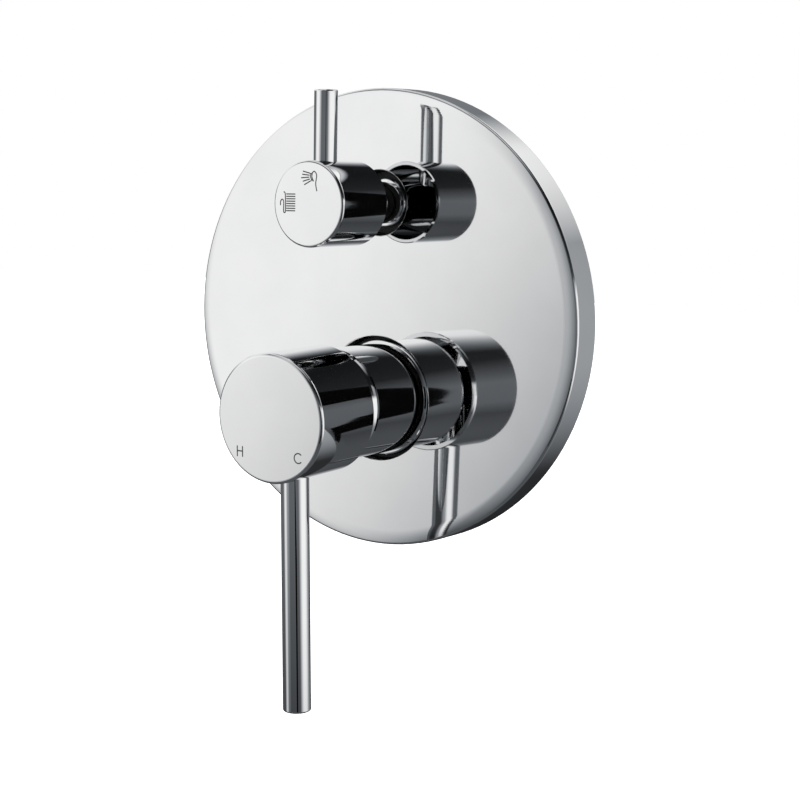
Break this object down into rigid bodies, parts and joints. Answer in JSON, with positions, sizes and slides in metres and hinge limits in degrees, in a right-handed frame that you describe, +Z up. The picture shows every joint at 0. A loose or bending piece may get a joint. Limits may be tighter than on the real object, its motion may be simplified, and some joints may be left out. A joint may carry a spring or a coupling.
{
  "type": "wall mixer",
  "caption": "Concealed single-lever shower mixer with a diverter knob, both on one round chrome cover plate over two brass bodies on a bracket.",
  "frame": {"origin": "centre of the four fixing holes, on the back plane of the steel bracket, 60 mm behind the finished wall", "axes": "+X to the right as seen from the front, +Y into the wall, +Z up; the plate faces -Y"},
  "size_m": [0.166, 0.1367, 0.219],
  "materials": {
    "chrome": "polished",
    "brass": "cast, satin",
    "steel": "satin",
    "rubber": "matte",
    "foam": "matte",
    "ceramic": "lapped",
    "white_plastic": "matte",
    "blue_plastic": "matte"
  },
  "bodies": {
    "fixed": {"cover_plate": "chrome", "wall_gasket": "foam", "mixer_hole_seal": "rubber", "diverter_hole_seal": "rubber", "mounting_bracket": "steel", "bracket_screws": "steel", "mixer_body": "brass", "diverter_body": "brass", "link_tube": "brass", "link_orings": "rubber", "mixer_sleeve": "chrome", "mixer_sleeve_oring": "rubber", "ring_nut": "brass", "cartridge_housing": "white_plastic", "cartridge_base": "white_plastic", "cartridge_seals": "rubber", "fixed_disc": "ceramic", "diverter_sleeve": "chrome", "diverter_sleeve_oring": "rubber", "diverter_headwork": "brass", "headwork_seal": "rubber", "diverter_fixed_disc": "ceramic", "diverter_port_seals": "rubber"},
    "turret": {"cartridge_turret": "blue_plastic", "pivot_pin": "steel"},
    "handle": {"mixer_stem": "steel", "mixer_hub": "chrome", "mixer_lever": "chrome", "hub_grub_screw": "steel"},
    "slider": {"disc_carrier": "blue_plastic", "moving_disc": "ceramic"},
    "diverter": {"diverter_spindle": "steel", "spindle_orings": "rubber", "spindle_circlip": "steel", "diverter_moving_disc": "ceramic", "diverter_knob": "chrome", "diverter_lever": "chrome", "knob_grub_screw": "steel"}
  },
  "joints": [
    {"name": "temperature_turn", "type": "hinge", "parent": "fixed", "child": "turret", "pos_m": [0, -0.094, -0.029], "axis": [0, 1, 0], "range_deg": [-50, 50]},
    {"name": "flow_lift", "type": "hinge", "parent": "turret", "child": "handle", "pos_m": [0, -0.094, -0.029], "axis": [-1, 0, 0], "range_deg": [0, 25]},
    {"name": "disc_slide", "type": "slide", "parent": "turret", "child": "slider", "axis": [0, 0, -1], "range_m": [0, 0.0043]},
    {"name": "diverter_turn", "type": "hinge", "parent": "fixed", "child": "diverter", "pos_m": [0, -0.1, 0.042], "axis": [0, 1, 0], "range_deg": [0, 90]}
  ],
  "couplings": [
    {"joint": "disc_slide", "follows": "flow_lift", "m_per_rad": 0.009751}
  ]
}
